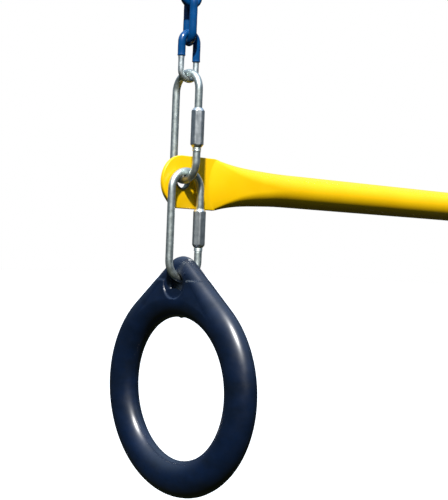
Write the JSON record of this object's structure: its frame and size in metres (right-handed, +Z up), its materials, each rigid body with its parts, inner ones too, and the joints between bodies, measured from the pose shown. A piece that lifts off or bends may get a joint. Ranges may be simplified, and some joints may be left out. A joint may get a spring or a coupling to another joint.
{
  "type": "gymnastics rings",
  "caption": "Playground trapeze bar with gym rings under it, joined by long quick links and hung on plastic-coated chains from ceiling hangers.",
  "frame": {"origin": "middle of the four beam bolts, in the plane where both hanger plates meet the beam", "axes": "+Z up, out of the hanger plates into the beam; +X along the trapeze bar; +Y fore-aft, across the bar"},
  "size_m": [0.53, 0.1778, 0.7095],
  "materials": {
    "zinc_steel": "dull zinc plate",
    "bright_steel": "bright zinc plate",
    "blue_coat": "glossy dipped soft vinyl",
    "navy_plastic": "satin moulded",
    "yellow_paint": "gloss powder coat",
    "nylon": "matte"
  },
  "bodies": {
    "hangers": {"left_bracket": "zinc_steel", "left_pin": "bright_steel", "left_lock_nut": "bright_steel", "left_washers": "bright_steel", "right_bracket": "zinc_steel", "right_pin": "bright_steel", "right_lock_nut": "bright_steel", "right_washers": "bright_steel"},
    "left_pendulum": {"left_pendulum": "zinc_steel", "left_bush": "nylon"},
    "left_top_link": {"left_top_link": "zinc_steel"},
    "left_top_nut": {"left_top_nut": "bright_steel"},
    "left_link_1": {"left_link_1": "zinc_steel", "left_coat_1": "blue_coat"},
    "left_link_2": {"left_link_2": "zinc_steel", "left_coat_2": "blue_coat"},
    "left_link_3": {"left_link_3": "zinc_steel", "left_coat_3": "blue_coat"},
    "left_link_4": {"left_link_4": "zinc_steel", "left_coat_4": "blue_coat"},
    "left_link_5": {"left_link_5": "zinc_steel", "left_coat_5": "blue_coat"},
    "left_link_6": {"left_link_6": "zinc_steel", "left_coat_6": "blue_coat"},
    "left_link_7": {"left_link_7": "zinc_steel", "left_coat_7": "blue_coat"},
    "left_upper_link": {"left_upper_link": "zinc_steel"},
    "left_upper_nut": {"left_upper_nut": "bright_steel"},
    "left_lower_link": {"left_lower_link": "zinc_steel"},
    "left_lower_nut": {"left_lower_nut": "bright_steel"},
    "left_ring": {"left_ring": "navy_plastic"},
    "trapeze_bar": {"trapeze_bar": "yellow_paint", "left_eyelet": "bright_steel", "right_eyelet": "bright_steel"},
    "right_pendulum": {"right_pendulum": "zinc_steel", "right_bush": "nylon"},
    "right_top_link": {"right_top_link": "zinc_steel"},
    "right_top_nut": {"right_top_nut": "bright_steel"},
    "right_link_1": {"right_link_1": "zinc_steel", "right_coat_1": "blue_coat"},
    "right_link_2": {"right_link_2": "zinc_steel", "right_coat_2": "blue_coat"},
    "right_link_3": {"right_link_3": "zinc_steel", "right_coat_3": "blue_coat"},
    "right_link_4": {"right_link_4": "zinc_steel", "right_coat_4": "blue_coat"},
    "right_link_5": {"right_link_5": "zinc_steel", "right_coat_5": "blue_coat"},
    "right_link_6": {"right_link_6": "zinc_steel", "right_coat_6": "blue_coat"},
    "right_link_7": {"right_link_7": "zinc_steel", "right_coat_7": "blue_coat"},
    "right_upper_link": {"right_upper_link": "zinc_steel"},
    "right_upper_nut": {"right_upper_nut": "bright_steel"},
    "right_lower_link": {"right_lower_link": "zinc_steel"},
    "right_lower_nut": {"right_lower_nut": "bright_steel"},
    "right_ring": {"right_ring": "navy_plastic"}
  },
  "joints": [
    {"name": "left_swing", "type": "hinge", "parent": "hangers", "child": "left_pendulum", "pos_m": [-0.24, 0, -0.024], "axis": [1, 0, 0], "range_deg": [-45, 45]},
    {"name": "left_top_link_hinge", "type": "hinge", "parent": "left_pendulum", "child": "left_top_link", "pos_m": [-0.24, 0, -0.067], "axis": [1, 0, 0], "range_deg": [-10, 10]},
    {"name": "left_top_nut_slide", "type": "slide", "parent": "left_top_link", "child": "left_top_nut", "axis": [0, 0, 1], "range_m": [0, 0.012]},
    {"name": "left_link_1_hinge", "type": "hinge", "parent": "left_top_link", "child": "left_link_1", "pos_m": [-0.24, 0, -0.1411], "axis": [1, 0, 0], "range_deg": [-10, 10]},
    {"name": "left_link_2_hinge", "type": "hinge", "parent": "left_link_1", "child": "left_link_2", "pos_m": [-0.24, 0, -0.1795], "axis": [1, 0, 0], "range_deg": [-10, 10]},
    {"name": "left_link_3_hinge", "type": "hinge", "parent": "left_link_2", "child": "left_link_3", "pos_m": [-0.24, 0, -0.2033], "axis": [1, 0, 0], "range_deg": [-10, 10]},
    {"name": "left_link_4_hinge", "type": "hinge", "parent": "left_link_3", "child": "left_link_4", "pos_m": [-0.24, 0, -0.2417], "axis": [1, 0, 0], "range_deg": [-10, 10]},
    {"name": "left_link_5_hinge", "type": "hinge", "parent": "left_link_4", "child": "left_link_5", "pos_m": [-0.24, 0, -0.2655], "axis": [1, 0, 0], "range_deg": [-10, 10]},
    {"name": "left_link_6_hinge", "type": "hinge", "parent": "left_link_5", "child": "left_link_6", "pos_m": [-0.24, 0, -0.3039], "axis": [1, 0, 0], "range_deg": [-10, 10]},
    {"name": "left_link_7_hinge", "type": "hinge", "parent": "left_link_6", "child": "left_link_7", "pos_m": [-0.24, 0, -0.3277], "axis": [1, 0, 0], "range_deg": [-10, 10]},
    {"name": "left_sway", "type": "hinge", "parent": "left_link_7", "child": "left_upper_link", "pos_m": [-0.24, 0, -0.36028], "axis": [0, 1, 0], "range_deg": [-12, 12]},
    {"name": "left_upper_nut_slide", "type": "slide", "parent": "left_upper_link", "child": "left_upper_nut", "axis": [0, 0, 1], "range_m": [0, 0.012]},
    {"name": "left_lower_link_swing", "type": "hinge", "parent": "left_upper_link", "child": "left_lower_link", "pos_m": [-0.24, 0, -0.44893], "axis": [0, 1, 0], "range_deg": [-10, 30]},
    {"name": "left_lower_nut_slide", "type": "slide", "parent": "left_lower_link", "child": "left_lower_nut", "axis": [0, 0, 1], "range_m": [0, 0.012]},
    {"name": "left_ring_swing", "type": "hinge", "parent": "left_lower_link", "child": "left_ring", "pos_m": [-0.24, -0.0034, -0.53031], "axis": [1, 0, 0], "range_deg": [-60, 60]},
    {"name": "bar_level", "type": "hinge", "parent": "left_upper_link", "child": "trapeze_bar", "pos_m": [-0.24, 0, -0.44893], "axis": [0, 1, 0], "range_deg": [-12, 12]},
    {"name": "right_swing", "type": "hinge", "parent": "hangers", "child": "right_pendulum", "pos_m": [0.24, 0, -0.024], "axis": [1, 0, 0], "range_deg": [-45, 45]},
    {"name": "right_top_link_hinge", "type": "hinge", "parent": "right_pendulum", "child": "right_top_link", "pos_m": [0.24, 0, -0.067], "axis": [1, 0, 0], "range_deg": [-10, 10]},
    {"name": "right_top_nut_slide", "type": "slide", "parent": "right_top_link", "child": "right_top_nut", "axis": [0, 0, 1], "range_m": [0, 0.012]},
    {"name": "right_link_1_hinge", "type": "hinge", "parent": "right_top_link", "child": "right_link_1", "pos_m": [0.24, 0, -0.1411], "axis": [1, 0, 0], "range_deg": [-10, 10]},
    {"name": "right_link_2_hinge", "type": "hinge", "parent": "right_link_1", "child": "right_link_2", "pos_m": [0.24, 0, -0.1795], "axis": [1, 0, 0], "range_deg": [-10, 10]},
    {"name": "right_link_3_hinge", "type": "hinge", "parent": "right_link_2", "child": "right_link_3", "pos_m": [0.24, 0, -0.2033], "axis": [1, 0, 0], "range_deg": [-10, 10]},
    {"name": "right_link_4_hinge", "type": "hinge", "parent": "right_link_3", "child": "right_link_4", "pos_m": [0.24, 0, -0.2417], "axis": [1, 0, 0], "range_deg": [-10, 10]},
    {"name": "right_link_5_hinge", "type": "hinge", "parent": "right_link_4", "child": "right_link_5", "pos_m": [0.24, 0, -0.2655], "axis": [1, 0, 0], "range_deg": [-10, 10]},
    {"name": "right_link_6_hinge", "type": "hinge", "parent": "right_link_5", "child": "right_link_6", "pos_m": [0.24, 0, -0.3039], "axis": [1, 0, 0], "range_deg": [-10, 10]},
    {"name": "right_link_7_hinge", "type": "hinge", "parent": "right_link_6", "child": "right_link_7", "pos_m": [0.24, 0, -0.3277], "axis": [1, 0, 0], "range_deg": [-10, 10]},
    {"name": "right_sway", "type": "hinge", "parent": "right_link_7", "child": "right_upper_link", "pos_m": [0.24, 0, -0.36028], "axis": [0, 1, 0], "range_deg": [-12, 12]},
    {"name": "right_upper_nut_slide", "type": "slide", "parent": "right_upper_link", "child": "right_upper_nut", "axis": [0, 0, 1], "range_m": [0, 0.012]},
    {"name": "right_lower_link_swing", "type": "hinge", "parent": "right_upper_link", "child": "right_lower_link", "pos_m": [0.24, 0, -0.44893], "axis": [0, 1, 0], "range_deg": [-30, 10]},
    {"name": "right_lower_nut_slide", "type": "slide", "parent": "right_lower_link", "child": "right_lower_nut", "axis": [0, 0, 1], "range_m": [0, 0.012]},
    {"name": "right_ring_swing", "type": "hinge", "parent": "right_lower_link", "child": "right_ring", "pos_m": [0.24, -0.0034, -0.53031], "axis": [1, 0, 0], "range_deg": [-60, 60]}
  ],
  "couplings": [
    {"joint": "right_swing", "follows": "left_swing", "ratio": 1},
    {"joint": "right_top_link_hinge", "follows": "left_top_link_hinge", "ratio": 1},
    {"joint": "right_sway", "follows": "left_sway", "ratio": 1},
    {"joint": "right_link_1_hinge", "follows": "left_link_1_hinge", "ratio": 1},
    {"joint": "right_link_2_hinge", "follows": "left_link_2_hinge", "ratio": 1},
    {"joint": "right_link_3_hinge", "follows": "left_link_3_hinge", "ratio": 1},
    {"joint": "right_link_4_hinge", "follows": "left_link_4_hinge", "ratio": 1},
    {"joint": "right_link_5_hinge", "follows": "left_link_5_hinge", "ratio": 1},
    {"joint": "right_link_6_hinge", "follows": "left_link_6_hinge", "ratio": 1},
    {"joint": "right_link_7_hinge", "follows": "left_link_7_hinge", "ratio": 1},
    {"joint": "bar_level", "follows": "left_sway", "ratio": -1}
  ]
}
